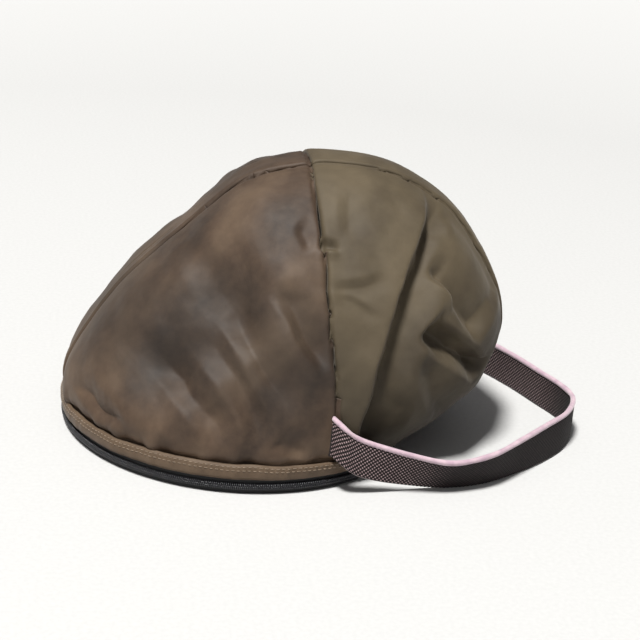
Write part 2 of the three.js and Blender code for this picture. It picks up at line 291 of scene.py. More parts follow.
def closed_object(name, vertices, faces):
    """An object whose faces are turned to point out of its closed surface."""
    obj = new_object(name, vertices, faces)
    shape = bmesh.new()
    shape.from_mesh(obj.data)
    bmesh.ops.recalc_face_normals(shape, faces=shape.faces)
    shape.to_mesh(obj.data)
    shape.free()
    obj.data.shade_smooth()
    return obj


def tube(name, sections):
    return closed_object(name, *tube_parts(sections))


def give_thickness(obj):
    """Makes a sheet of cloth a closed shell, growing inwards."""
    modifier = obj.modifiers.new("cloth_thickness", "SOLIDIFY")
    modifier.thickness = CLOTH_THICK * MM
    modifier.offset = -1
    apply_modifiers(obj)


def finish_piece(obj, body, material, replaces=()):
    obj.data.materials.append(material)
    if body:
        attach(obj, body)
    if replaces:
        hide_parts(*replaces)
    return obj


# ---- Materials ----

def linear(color):
    """An sRGB colour, 0 to 255, as Blender's linear one."""
    c = np.array(color) / 255
    return (*np.where(c <= 0.04045, c / 12.92, ((c + 0.055) / 1.055) ** 2.4), 1.0)


def greys(stops):
    return [(place, (grey,) * 3) for place, grey in stops]


def fill_ramp(node, stops):
    """Gives a colour ramp its stops; a colour is sRGB as three numbers, or linear as four."""
    elements = node.color_ramp.elements
    while len(elements) < len(stops):
        elements.new(0.5)
    for element, (place, color) in zip(elements, stops):
        element.position = place
        element.color = color if len(color) == 4 else linear(color)


class Nodes:
    """Short ways to build a material's node tree."""

    def __init__(self, name):
        self.material = bpy.data.materials.new(name)
        self.material.use_nodes = True
        self.tree = self.material.node_tree
        self.shader = self.tree.nodes["Principled BSDF"]

    def add(self, kind, inputs=(), **settings):
        node = self.tree.nodes.new(kind)
        for key, value in settings.items():
            setattr(node, key, value)
        for key, value in dict(inputs).items():
            self.put(value, node.inputs[key])
        return node

    def put(self, value, socket):
        if isinstance(value, bpy.types.NodeSocket):
            self.tree.links.new(value, socket)
        else:
            socket.default_value = value

    def place(self):
        """Where a point is on the object, in metres."""
        return self.add("ShaderNodeTexCoord").outputs["Object"]

    def coords(self, scale):
        return self.add("ShaderNodeMapping", {"Vector": self.place(), "Scale": scale}).outputs["Vector"]

    def noise_at(self, place, detail, rough):
        return self.add("ShaderNodeTexNoise", {"Vector": place, "Scale": 1.0, "Detail": detail,
                                               "Roughness": rough}).outputs["Fac"]

    def noise(self, size_mm, detail=2.0, rough=0.5):
        return self.noise_at(self.coords((1 / (size_mm * MM),) * 3), detail, rough)

    def slanted_noise(self, sizes_mm, degrees):
        """Noise with its own size along each axis, after a turn about Y."""
        turn, scale = (0, math.radians(degrees), 0), tuple(size * MM for size in sizes_mm)
        turned = self.add("ShaderNodeMapping", {"Vector": self.place(), "Rotation": turn, "Scale": scale},
                          vector_type="TEXTURE")
        return self.noise_at(turned.outputs["Vector"], 2.0, 0.5)

    def ramp(self, value, stops):
        node = self.add("ShaderNodeValToRGB", {"Fac": value})
        fill_ramp(node, stops)
        return node.outputs["Color"]

    def math(self, operation, a, b=0.0):
        node = self.add("ShaderNodeMath", operation=operation)
        self.put(a, node.inputs[0])
        self.put(b, node.inputs[1])
        return node.outputs[0]

    def mix(self, factor, a, b, blend="MIX"):
        node = self.add("ShaderNodeMix", data_type="RGBA", blend_type=blend)
        self.put(factor, node.inputs["Factor"])
        self.put(a, node.inputs[6])
        self.put(b, node.inputs[7])
        return node.outputs[2]

    def bump(self, height, distance_mm, strength=1.0, under=None):
        inputs = {"Height": height, "Distance": distance_mm * MM, "Strength": strength}
        if under is not None:
            inputs["Normal"] = under
        return self.add("ShaderNodeBump", inputs).outputs["Normal"]

    def set(self, **values):
        for key, value in values.items():
            self.put(value, self.shader.inputs[key.replace("_", " ")])
        return self.material


def weave(nodes, pitch_mm):
    """Height of a plain weave: two sets of threads that cross in the object's own axes."""
    turned = nodes.coords((1 / (pitch_mm * MM),) * 3)
    waves = []
    for direction in ("X", "Z"):
        wave = nodes.add("ShaderNodeTexWave", {"Vector": turned, "Scale": 0.314, "Distortion": 0.6,
                                               "Detail": 1.0}, bands_direction=direction)
        waves.append(wave.outputs["Fac"])
    return nodes.math("MULTIPLY", waves[0], waves[1])


NYLON_PATCHES = (34, 60, 80)  # how big the broad changes of tone are, along each slanted axis
NYLON_SLANT = 35
NYLON_THREAD = 0.55


def nylon(name, dark, middle, light, rough_from, painted_shade):
    """Worn taffeta: a soft sheen, broad tone changes and a fine thread grain, with painted shade by height.
    The painted shade is given as (share of the body's height, grey to multiply by): colour darkened where
    shade falls."""
    n = Nodes(name)
    patches = n.slanted_noise(NYLON_PATCHES, NYLON_SLANT)
    base = n.ramp(patches, [(0.34, dark), (0.5, middle), (0.66, light)])
    base = n.mix(0.2, base, n.ramp(n.noise(6, 3, 0.6), [(0.3, dark), (0.7, light)]))
    # Painted shade: the colour is multiplied by a grey set by height, darkening the bands where shade
    # falls.
    height = n.add("ShaderNodeSeparateXYZ", {"Vector": n.place()}).outputs["Z"]
    height = n.math("DIVIDE", height, HEIGHT * MM)
    height = n.math("ADD", height, n.math("MULTIPLY", n.noise(45, 2), 0.3))
    base = n.mix(1.0, base, n.ramp(height, greys(painted_shade)), "MULTIPLY")
    normal = n.bump(n.noise(10, 3, 0.6), 0.2, 0.5)
    normal = n.bump(n.noise(1.6, 3, 0.6), 0.05, 0.6, normal)
    normal = n.bump(weave(n, NYLON_THREAD), 0.05, 0.5, normal)
    rough = n.math("MULTIPLY_ADD", n.noise(14, 3, 0.6), 0.12)
    rough.node.inputs[2].default_value = rough_from
    return n.set(Base_Color=base, Roughness=rough, Normal=normal, Sheen_Weight=0.1, Sheen_Roughness=0.4,
                 Sheen_Tint=linear((196, 186, 172)), Specular_IOR_Level=0.4)


def woven(name, dark, light, pitch_mm, rough, distance_mm):
    """Plain woven tape or hem cloth with its threads showing."""
    n = Nodes(name)
    threads = weave(n, pitch_mm)
    base = n.mix(n.math("MULTIPLY", threads, 0.8), linear(dark), linear(light))
    base = n.mix(0.3, base, n.ramp(n.noise(9, 3, 0.6), [(0.3, dark), (0.7, light)]))
    normal = n.bump(n.noise(3, 3, 0.6), 0.15, 0.5)
    normal = n.bump(threads, distance_mm, 0.8, normal)
    return n.set(Base_Color=base, Roughness=rough, Normal=normal, Sheen_Weight=0.05, Sheen_Roughness=0.5,
                 Specular_IOR_Level=0.3)


def brushed_lining():
    n = Nodes("lining_fleece")
    base = n.ramp(n.noise(5, 4, 0.65), [(0.3, (54, 47, 42)), (0.7, (82, 72, 64))])
    normal = n.bump(n.noise(1.2, 4, 0.7), 0.35, 0.8, n.bump(n.noise(22, 2), 1.5, 0.4))
    return n.set(Base_Color=base, Roughness=0.92, Normal=normal, Sheen_Weight=0.5, Sheen_Roughness=0.6)


def thread():
    n = Nodes("sewing_thread")
    base = n.ramp(n.noise(1.5, 2), [(0.3, (84, 69, 52)), (0.7, (122, 104, 84))])
    twist = n.add("ShaderNodeTexWave", {"Vector": n.coords((2600, 2600, 1500)), "Scale": 0.35,
                                        "Distortion": 1.0}, bands_direction="DIAGONAL").outputs["Fac"]
    return n.set(Base_Color=base, Roughness=0.55, Normal=n.bump(twist, 0.05, 0.6), Sheen_Weight=0.2)


def coil_nylon():
    n = Nodes("coil_nylon")
    base = n.ramp(n.noise(2, 2), [(0.3, (24, 24, 27)), (0.7, (44, 44, 48))])
    return n.set(Base_Color=base, Roughness=0.28, Normal=n.bump(n.noise(0.6, 2), 0.03, 0.5),
                 Specular_IOR_Level=0.6)


def enamelled_metal():
    """Black enamel, worn to grey zinc in small chips."""
    n = Nodes("enamelled_metal")
    chips = n.ramp(n.noise(1.6, 4, 0.7), greys([(0.63, 0), (0.68, 255)]))
    base = n.mix(chips, linear((34, 34, 37)), linear((128, 126, 122)))
    rough = n.math("MULTIPLY_ADD", n.noise(2.5, 3), 0.2)
    rough.node.inputs[2].default_value = 0.25
    return n.set(Base_Color=base, Roughness=rough, Metallic=0.85, Normal=n.bump(n.noise(0.8, 3), 0.03, 0.4))


WEAVE_PITCH = 2.8        # of the basket weave, along and across the webbing
LOOP_LENGTH = 580        # about how long the loop is
UV_MM = 100              # millimetres for one unit of the loop's UVs
# How clearly the pale yarn shows at each share of the loop's length.
PALE_YARN = [(0.0, 255), (0.09, 245), (0.16, 60), (0.42, 50), (0.5, 220), (0.63, 220), (0.7, 70),
             (1.0, 130)]


def webbing_yarn():
    """Basket weave of dark and pale yarn, placed by the loop's UVs, which run along it and up it."""
    n = Nodes("webbing_yarn")
    place = n.add("ShaderNodeSeparateXYZ", {"Vector": n.add("ShaderNodeUVMap").outputs["UV"]})
    turns = 2 * math.pi * UV_MM / WEAVE_PITCH
    along = n.math("COSINE", n.math("MULTIPLY", place.outputs["X"], turns))
    up = n.math("COSINE", n.math("MULTIPLY", place.outputs["Y"], turns))
    dots = n.math("MULTIPLY", along, up)
    knots = n.ramp(dots, greys([(0.15, 0), (0.75, 255)]))
    pale = n.ramp(n.math("MULTIPLY", place.outputs["X"], UV_MM / LOOP_LENGTH), greys(PALE_YARN))
    pale.node.color_ramp.interpolation = "EASE"
    yarn = n.ramp(n.noise(4, 3, 0.6), [(0.3, (13, 9, 9)), (0.7, (26, 19, 20))])
    light = n.ramp(n.noise(2.5, 2), [(0.3, (140, 118, 119)), (0.7, (178, 155, 156))])
    base = n.mix(n.mix(1.0, knots, pale, "MULTIPLY"), yarn, light)
    normal = n.bump(n.noise(0.5, 3, 0.6), 0.06, 0.6)
    return n.set(Base_Color=base, Roughness=0.65, Normal=normal, Sheen_Weight=0.03, Sheen_Roughness=0.45,
                 Specular_IOR_Level=0.2)


def soft_edging(name, dark, light):
    n = Nodes(name)
    base = n.ramp(n.noise(7, 3, 0.6), [(0.3, dark), (0.7, light)])
    normal = n.bump(n.noise(1.1, 4, 0.7), 0.12, 0.7, n.bump(n.noise(9, 2), 0.5, 0.5))
    return n.set(Base_Color=base, Roughness=0.75, Normal=normal, Sheen_Weight=0.4, Sheen_Roughness=0.5)


# ---- Where the seams run ----

SEAM_WANDER = 1.1         # how far the cross seam strays from its plane


def cross_seam(p):
    """Distance past the cross seam, towards +X."""
    slope = (SEAM_FOOT_X - SEAM_TOP_X) / HEIGHT
    places = np.stack([p[:, 2] / 13, np.sign(p[:, 1]), 0 * p[:, 0]], 1)
    stray = SEAM_WANDER * value_noise(places, 37)
    return (p[:, 0] - stray - (SEAM_FOOT_X - slope * p[:, 2])) / math.hypot(1, slope)


def strip_edges(x):
    share = np.clip((x - STRIP_TAPER_X[1]) / (STRIP_TAPER_X[0] - STRIP_TAPER_X[1]), 0, 1)
    centre = STRIP_TIP_SHIFT * (1 - share)
    half = STRIP_TIP_HALF_WIDTH + (STRIP_HALF_WIDTH - STRIP_TIP_HALF_WIDTH) * share
    return centre - half, centre + half


def strip_seam(p):
    """Distance outside the top strip, negative inside it."""
    low, high = strip_edges(p[:, 0])
    return np.maximum(low - p[:, 1], p[:, 1] - high)


def hem_seam(p):
    """Distance from the line along which the panels meet the hem."""
    return np.where(p[:, 0] < HINGE_X + 2, np.abs(p[:, 2] - HEM_HIGH), 1e3)


# ---- The padded body ----

SWELL_INSET = 1.8         # the cloth starts this far inside and swells out again
FORM_ROWS, FORM_COLUMNS = 46, 96
VOXEL = 5.5               # how big the cloth's faces are as it swells
SWELL_FRAMES = 20
SWELL_LIMIT = 7.0         # the furthest that any of it may move
SEWN_TO = 9               # everything lower than this is held
SWELL_ROUNDS = 7          # of evening out, which takes away crumples smaller than a hand's breadth


CLOTH_SETTINGS = {
    "quality": 6, "mass": 0.15, "vertex_group_mass": "sewn", "shrink_min": -0.03,
    "tension_stiffness": 12, "compression_stiffness": 12, "shear_stiffness": 3, "bending_stiffness": 0.1,
    "use_pressure": True, "uniform_pressure_force": 4.0,
}


def body_form():
    """The plain closed form of the body, a little inside its real surface."""
    rows, columns = FORM_ROWS, FORM_COLUMNS
    z = HEIGHT * np.sin(np.linspace(0, 1, rows, endpoint=False) * math.pi / 2) ** 1.15
    zz, tt = np.meshgrid(z, np.arange(columns) * 2 * math.pi / columns, indexing="ij")
    points = surface_points(zz, tt) - surface_normals(zz, tt) * SWELL_INSET
    points[0, :, 2] = 0
    vertices = np.vstack([points.reshape(-1, 3), [[APEX_X, 0, HEIGHT - SWELL_INSET]], [[0, 0, 0]]])
    faces = grid_faces(rows, columns)
    last, top, floor = (rows - 1) * columns, rows * columns, rows * columns + 1
    for j in range(columns):
        k = (j + 1) % columns
        faces.append((last + j, last + k, top))
        faces.append((k, j, floor))
    obj = new_object("body_form", vertices, faces)
    remesh = obj.modifiers.new("even", "REMESH")
    remesh.mode = "VOXEL"
    remesh.voxel_size = VOXEL * MM
    apply_modifiers(obj)
    return obj


def even_out(obj, values, rounds):
    """Mixes each point's values with its neighbours', again and again."""
    ends = np.empty(len(obj.data.edges) * 2, np.int32)
    obj.data.edges.foreach_get("vertices", ends)
    a, b = ends.reshape(-1, 2).T
    count = np.bincount(ends, minlength=len(values))[:, None]
    for _ in range(rounds):
        total = np.zeros_like(values)
        np.add.at(total, a, values[b])
        np.add.at(total, b, values[a])
        values = 0.5 * values + 0.5 * total / count
    return values


def swell(obj):
    """Blows the cloth up between its sewn lines, which stay where they are."""
    start = get_points(obj)
    seams = np.minimum(np.minimum(np.abs(cross_seam(start)), np.abs(strip_seam(start))), hem_seam(start))
    weights = np.where(start[:, 2] < SEWN_TO, 1.0, 1 - smoothstep(seams, 2.5, 5.5))
    sewn = obj.vertex_groups.new(name="sewn")
    for i in np.nonzero(weights > 0.01)[0]:
        sewn.add([int(i)], float(weights[i]), "REPLACE")
    modifier = obj.modifiers.new("swell", "CLOTH")
    cloth = modifier.settings
    for setting, value in CLOTH_SETTINGS.items():
        setattr(cloth, setting, value)
    cloth.effector_weights.gravity = 0
    modifier.collision_settings.use_collision = False
    modifier.point_cache.frame_end = SWELL_FRAMES
    for number in range(1, SWELL_FRAMES + 1):
        bpy.context.scene.frame_set(number)
    apply_modifiers(obj)
    bpy.context.scene.frame_set(1)
    moved = even_out(obj, get_points(obj) - start, SWELL_ROUNDS)
    size = np.maximum(np.linalg.norm(moved, axis=1, keepdims=True), 1e-9)
    set_points(obj, start + moved * np.minimum(1, SWELL_LIMIT / size))


# Folds on the near side. Each has places (x, z) along the line of its valley; its depth; how wide its
# steep wall is, which lies to the line's right, and its gentle wall, to its left; how far the cloth
# stands up past the steep wall; how far that cloth hangs over; and the share of the line over which
# the fold fades out at each end.
NEAR_FOLDS = [
    (((122, 172), (109, 152), (99, 136), (91, 115), (85, 95), (80, 74), (75, 42), (71, 12)),
     13, 13, 26, 2, 4, 0.08),
    (((158, 93), (146, 107), (136, 119), (125, 132), (113, 144)), 11, 22, 9, 2, 5, 0.2),
    (((157, 62), (146, 76), (132, 88), (120, 98), (110, 108)), 16, 14, 15, 2.5, 8, 0.16),
    (((132, 26), (124, 50), (113, 72), (107, 90)), 5, 20, 12, 1, 0, 0.3),
    (((34, 155), (41, 153), (50, 152)), 3.5, 4, 6, 1.2, 1, 0.35),
    (((57, 186), (54, 172), (55, 156)), 2.0, 8, 16, 0.4, 0, 0.35),
    (((80, 139), (62, 132), (40, 129)), 1.6, 5, 10, 0.5, 0, 0.3),
    (((74, 113), (58, 122), (43, 124)), 1.2, 4, 9, 0.4, 0, 0.35),
    (((20, 134), (-6, 124), (-30, 108), (-54, 85), (-74, 60), (-90, 42)), 13, 38, 34, 0, 0, 0.3),
    (((31, 150), (27, 158), (21, 166)), 2.4, 10, 7, 0, 0, 0.35),
    (((2, 138), (-14, 133), (-32, 126), (-46, 116)), 3.5, 22, 16, 0, 0, 0.35),
    (((-34, 126), (-22, 112), (-7, 92), (9, 70), (26, 48)), 8, 13, 24, 0.6, 2, 0.35),
    (((-44, 100), (-30, 86), (-16, 70), (-3, 50), (8, 28)), 8, 14, 20, 0.6, 2, 0.35),
    (((-74, 84), (-60, 72), (-44, 58), (-30, 44), (-18, 26)), 7, 13, 20, 0.6, 2, 0.35),
    (((6, 134), (16, 119), (29, 99), (44, 80)), 6, 8, 20, 0.5, 1.5, 0.3),
    (((-82, 36), (-98, 34), (-114, 44)), 5, 14, 9, 0.5, 0, 0.3),
    (((36, 30), (24, 31), (8, 38)), 3, 14, 8, 0.5, 0, 0.3),
]
# The far side has the same kind of slack.
FAR_FOLDS = [
    (((124, 168), (110, 140), (99, 110), (92, 78), (86, 46), (82, 18)), 10, 12, 24, 1.5, 3, 0.15),
    (((156, 64), (144, 80), (128, 94), (112, 104)), 9, 12, 16, 1.5, 3, 0.25),
    (((78, 104), (60, 117), (40, 121)), 2, 6, 12, 0.5, 0, 0.35),
    (((20, 134), (-6, 122), (-30, 104), (-54, 82), (-76, 56)), 10, 36, 32, 0, 0, 0.35),
    (((-26, 126), (-12, 106), (2, 82), (20, 56)), 6, 13, 22, 0.5, 1.5, 0.35),
    (((-62, 98), (-48, 78), (-32, 56), (-18, 32)), 6, 13, 20, 0.5, 1.5, 0.35),
    (((-104, 58), (-90, 48), (-74, 46)), 3, 12, 10, 0.5, 0, 0.35),
]
FOLD_WANDER = 1.6         # how far a fold's line strays
SOFT_FROM = 15.0          # a fold whose walls are both wider than this has no crease


def fold_shape(p, folds):
    """How far the folds push the cloth out, and how they draw it over their valleys, as (x, z)."""
    push, draw = np.zeros(len(p)), np.zeros((len(p), 2))
    wander = np.stack([fractal(p / 24, 2, 5), fractal(p / 24, 2, 9)], 1) * FOLD_WANDER
    flat = p[:, [0, 2]] + wander
    for line, depth, steep, gentle, lip, hang, fade in folds:
        line = spline(line, 6 * len(line))
        reach = max(2.6 * steep, gentle)
        near = np.nonzero(((flat > line.min(0) - reach) & (flat < line.max(0) + reach)).all(1))[0]
        distance, side, along, way = polyline_distance(flat[near], line)
        ends = smoothstep(along, 0, fade) * smoothstep(1 - along, 0, fade)
        on_steep = side > 0
        rise = np.clip(1 - distance / np.where(on_steep, steep, gentle), 0, 1)
        soft = rise * rise * (3 - 2 * rise)
        wall = soft if min(steep, gentle) > SOFT_FROM else np.where(on_steep, rise ** 1.2, soft)
        edge = bump((distance - steep) / steep, 0.8) * smoothstep(distance, 0, steep) * on_steep
        push[near] += ends * (lip * edge - depth * wall)
        draw[near] += (ends * hang * edge)[:, None] * way
    return push, draw


def both_sides(p):
    """The folds of the near and far sides together, each fading out before the middle."""
    near, far = smoothstep(-p[:, 1], 8, 26), smoothstep(p[:, 1], 8, 26)
    push_near, draw_near = fold_shape(p, NEAR_FOLDS)
    push_far, draw_far = fold_shape(p, FAR_FOLDS)
    return near * push_near + far * push_far, near[:, None] * draw_near + far[:, None] * draw_far


# Depth and width of the groove along each kind of seam.
CROSS_GROOVE = (4.8, 1.0)
HEM_GROOVE = (3.4, 1.6)
STRIP_GROOVE = (4.0, 0.9)
STRIP_LAP = 1.3           # how far the top strip's edges stand over the panels
LEFT_BULGE = 2.5          # how far the zipped end hangs out over the hem


def groove(distance, size):
    depth, width = size
    return -depth * np.exp(-distance / width)


def add_detail(obj):
    """Folds, seam grooves with their puckers, and small wrinkles."""
    p = get_points(obj)
    push, draw = both_sides(p)
    p = p + get_normals(obj) * push[:, None]
    p[:, [0, 2]] += draw
    set_points(obj, p)

    cross, strip, hem = np.abs(cross_seam(p)), np.abs(strip_seam(p)), hem_seam(p)
    nearest = np.minimum(np.minimum(cross, strip), hem)
    inside = smoothstep(nearest, 4, 16)
    none = np.zeros(len(p))

    puckers = value_noise(np.stack([p[:, 2] / 7, p[:, 1] / 16, none], 1), 41)
    move = groove(cross, CROSS_GROOVE) + 1.1 * puckers * np.exp(-cross / 4.5) * smoothstep(cross, 0, 2)
    puckers = value_noise(np.stack([np.arctan2(p[:, 1], p[:, 0]) * 13, p[:, 2] / 22, none], 1), 43)
    move += groove(hem, HEM_GROOVE) + 3.0 * puckers * np.exp(-hem / 8)
    puckers = value_noise(np.stack([p[:, 0] / 8, none, p[:, 2] / 8], 1), 47)
    lapped = strip_seam(p)
    move += STRIP_LAP * (1 - smoothstep(lapped, -1.5, 1.0)) * np.exp(np.minimum(lapped, 0) / 7)
    move += groove(np.abs(lapped - 0.5), STRIP_GROOVE) + 0.15 * puckers * np.exp(-strip / 4)
    move += LEFT_BULGE * bump(p[:, 2] - 30, 18) * smoothstep(-p[:, 0], 30, 105)

    leaning = np.stack([p[:, 0] + 0.55 * p[:, 2], p[:, 1], p[:, 2] - 0.4 * p[:, 0]], 1)
    move += inside * 0.7 * value_noise(leaning / np.array([15, 40, 60]), 53) * smoothstep(strip, 6, 30)
    move += inside * 0.3 * fractal(p / 45, 2, 59)
    move += 0.1 * (0.4 + inside) * fractal(p / 9, 2, 31)
    p = p + get_normals(obj) * move[:, None]
    p[:, 2] = np.maximum(p[:, 2], FOLD_SHEET[1])
    set_points(obj, p)


PANELS = ["near_panel_zipped", "top_strip_zipped", "far_panel_zipped",
          "near_panel_slack", "top_strip_slack", "far_panel_slack", "toe_outer"]


def panel_labels(p):
    """Which panel a point belongs to, as its place in PANELS."""
    half = (cross_seam(p) > 0).astype(int)
    cheek = np.where(strip_seam(p) < 0, 1, np.where(p[:, 1] < 0, 0, 2))
    return half * 3 + cheek


TOE_X = HINGE_X + 0.6     # past this the base is sewn to the body
UNDER = 0.9               # faces lower than this are the base
TRIM_Z = HEM_LOW + 3      # the panels of the zipped half end here, hidden by the hem


def get_quads(obj):
    corners = np.empty(len(obj.data.loops), np.int32)
    obj.data.loops.foreach_get("vertex_index", corners)
    return corners.reshape(-1, 4)


def between(quads, labels, count):
    """For each of count points: whether it touches faces of two labels."""
    first, last = np.full(count, 99), np.full(count, -99)
    np.minimum.at(first, quads.ravel(), np.repeat(labels, 4))
    np.maximum.at(last, quads.ravel(), np.repeat(labels, 4))
    return first != last


def mark_panels(obj):
    """Labels each face with its panel and draws the points along the seams onto them."""
    p = get_points(obj)
    quads = get_quads(obj)
    labels = panel_labels(p[quads].mean(1))
    across, beside = between(quads, labels // 3, len(p)), between(quads, labels % 3, len(p))
    beside &= p[:, 2] > HEM_HIGH + VOXEL
    low, high = strip_edges(p[:, 0])
    edge = np.where(np.abs(p[:, 1] - low) < np.abs(p[:, 1] - high), low, high)
    p[:, 1] = np.where(beside & (np.abs(edge - p[:, 1]) < VOXEL), edge, p[:, 1])
    p[:, 0] -= np.where(across, cross_seam(p), 0)
    set_points(obj, p)
    obj.data.polygons.foreach_set("material_index", labels.astype(np.int32))


def cut_panels(obj):
    """Parts the body along its seams and round its base."""
    p = get_points(obj)
    quads = get_quads(obj)
    centres = p[quads].mean(1)
    labels = np.empty(len(quads), np.int32)
    obj.data.polygons.foreach_get("material_index", labels)
    past_hinge = centres[:, 0] > TOE_X
    labels[centres[:, 2] < UNDER] = len(PANELS) - 1
    low = centres[:, 2] < TRIM_Z
    labels[~past_hinge & low] = -1
    hinge = between(quads, past_hinge.astype(int), len(p)) & ~between(quads, low.astype(int), len(p))
    hinge &= p[:, 2] < TRIM_Z
    p[hinge, 0] = TOE_X
    panels = {}
    for label, name in enumerate(PANELS):
        used, index = np.unique(quads[labels == label], return_inverse=True)
        panels[name] = new_object("cloth_" + name, p[used], index.reshape(-1, 4))
    bpy.data.objects.remove(obj)
    return panels


def build_body(brown, olive):
    form = body_form()
    swell(form)
    mark_panels(form)
    subdivide_twice(form)
    add_detail(form)
    for name, obj in cut_panels(form).items():
        give_thickness(obj)
        brown_side = name.endswith("zipped")
        finish_piece(obj, "muff_body", brown if brown_side else olive, [name])


LINING_DEPTH = 12.5
LINING_TOE_INSET = 17         # how much deeper its lower edge lies where the toe hangs over
LINING_COLUMNS, LINING_ROWS = 200, 60
ROLL_TO = 14                  # height up to which the roll below goes
# From inside the hem round the lower edge of the padding to the lining: depth and height.
LINING_ROLL = [(0.9, 11.5), (1.2, 10.4), (2.5, 9.9), (6.0, 9.9), (9.0, 10.4), (11.3, 12.0)]


def build_lining(material):
    """The inside of the body: its wadding's lower edge and the lining over it, following the folds."""
    columns = LINING_COLUMNS
    turns = np.arange(columns) * 2 * math.pi / columns
    rise = np.sin(np.linspace(0, 1, LINING_ROWS, endpoint=False) * math.pi / 2)
    heights = ROLL_TO + (HEIGHT - LINING_DEPTH - ROLL_TO) * rise
    path = LINING_ROLL + [(LINING_DEPTH, height) for height in heights]
    rings = []
    for depth, height in path:
        at = surface_points(height, turns)
        normal = surface_normals(height, turns)
        under = np.maximum(-normal[:, 2], 0) * (height < ROLL_TO)
        if height < ROLL_TO:
            normal[:, 2] = 0
        folds = both_sides(at)[0]
        quilt = 1.2 * fractal(at / 26, 2, 97) * smoothstep(np.full(columns, height), 12, 24)
        inset = depth + LINING_TOE_INSET * under + np.maximum(-folds, 0) * 0.9 * (depth > 5) + quilt
        rings.append(at - normal * inset[:, None])
    points = np.vstack(rings + [rings[-1].mean(0)[None]])
    faces = [face[::-1] for face in grid_faces(len(rings), columns)]
    last = (len(rings) - 1) * columns
    faces += [(last + (j + 1) % columns, last + j, len(points) - 1) for j in range(columns)]
    side = np.array([cross_seam(points[list(face)]).mean() > 0 for face in faces])
    for name, wanted in (("lining_zipped", False), ("lining_slack", True)):
        chosen = [face for face, past in zip(faces, side) if past == wanted]
        used = np.unique(np.concatenate([np.array(face) for face in chosen]))
        place = {vertex: i for i, vertex in enumerate(used)}
        half = new_object("cloth_" + name, points[used], [[place[v] for v in face] for face in chosen])
        give_thickness(half)
        finish_piece(half, "muff_body", material, [name, name.replace("lining", "padding")])


# ---- Hem, zip and base ----

def rim_turns(count, height=10.0):
    """Turns round the rim from its +Y end, past the zipped end, to its -Y end."""
    every = np.linspace(0, math.pi, 2000)
    start = every[np.argmin(np.abs(surface_points(height, every)[:, 0] - HINGE_X))]
    return np.linspace(start, 2 * math.pi - start, count)


# The hem band's outline: how far out of the body's surface, and height.
HEM_SECTION = [(-0.9, 10.2), (0.4, 9.8), (1.1, 10.4), (1.4, 12.0), (1.5, 14.0), (1.4, 16.0), (1.1, 17.6),
               (0.6, 18.8), (-0.1, 19.5), (-1.2, 19.6), (-1.9, 17.5), (-1.9, 12.0)]
HEM_FACE = HEM_SECTION[2:9]
STITCH_HEIGHTS = (16.2, 18.3)
STITCH_PITCH = 3.3
STITCH_RADIUS = 0.33


def hem_place(turn, out, height):
    """Points on the hem band, with the band's own small waves."""
    around = np.stack([turn * RIM_RADIUS / 9, height / 30 + 0 * turn, 0 * turn], 1)
    wave = 0.45 * value_noise(around, 71) + 0.25 * value_noise(around * 2.3, 72)
    lift = 0.6 * value_noise(around * 0.6, 73) * smoothstep(height, 9, 20)
    normal = surface_normals(height, turn)
    normal[:, 2] = 0
    place = surface_points(height, turn) + normal * (out + wave)[:, None]
    place[:, 2] += lift
    return place


def build_hem(cloth, sewing):
    turns = rim_turns(700)
    flat = np.zeros(len(turns))
    sections = np.stack([hem_place(turns, flat + out, flat + height) for out, height in HEM_SECTION], 1)
    finish_piece(tube("hem", sections), "muff_body", cloth, ["hem_band"])
    outs, heights = np.array(HEM_FACE).T
    count = int(RIM_RADIUS * (turns[-1] - turns[0]) / STITCH_PITCH)
    step = (turns[-1] - turns[0]) / count
    stitches = []
    for height in STITCH_HEIGHTS:
        sunk = np.interp(height, heights, outs) + np.array([-0.05, 0.25, -0.05])
        for start in turns[0] + step * np.arange(count):
            places = start + step * np.array([0.16, 0.5, 0.84])
            stitches.append(capsule(hem_place(places, sunk, np.full(3, height)), STITCH_RADIUS))
    finish_piece(join("hem_stitches", stitches), "muff_body", sewing)


def on_rim(radius, degrees, height):
    angle = np.radians(degrees)
    return np.stack([radius * np.cos(angle), radius * np.sin(angle), height + 0 * angle], -1)


ZIP_DEGREES = (55.0, 305.0)
ZIP_END_DEGREES = 1.6         # how far short of its tape's ends the coil stops
COIL_RADIUS = 123.3
TOOTH_PITCH = 1.3
TOOTH_HALF = 0.36
# Outlines as distance from the Z axis and height; a tooth's height is from its root, towards its tip.
TAPE_OUTLINES = {
    "upper": [(121.9, 5.9), (121.9, 9.6), (121.0, 11.8), (120.2, 11.8), (120.8, 9.6), (120.8, 5.9)],
    "lower": [(121.9, 4.7), (120.8, 4.7), (120.8, 0.5), (121.3, 0.12), (121.9, 0.5)],
}
TOOTH_OUTLINE = [(122.1, -1.2), (123.3, -1.25), (124.1, -0.8), (124.4, 0.0), (124.1, 0.75), (123.3, 1.1),
                 (122.5, 0.9), (122.1, -0.1)]
TOOTH_ROOTS = {"upper": 6.1, "lower": 4.5}


def tooth(degrees, root, tip_way):
    """One turn of the coil: its outline swept through four places, smaller at both ends."""
    sections = []
    for offset, size in ((-1, 0.75), (-0.5, 1), (0.5, 1), (1, 0.75)):
        angle = degrees + math.degrees(offset * TOOTH_HALF / COIL_RADIUS)
        outline = np.array([on_rim(r, angle, root + tip_way * h) for r, h in TOOTH_OUTLINE])
        middle = outline.mean(0)
        sections.append(middle + (outline - middle) * size)
    return tube_parts(sections)


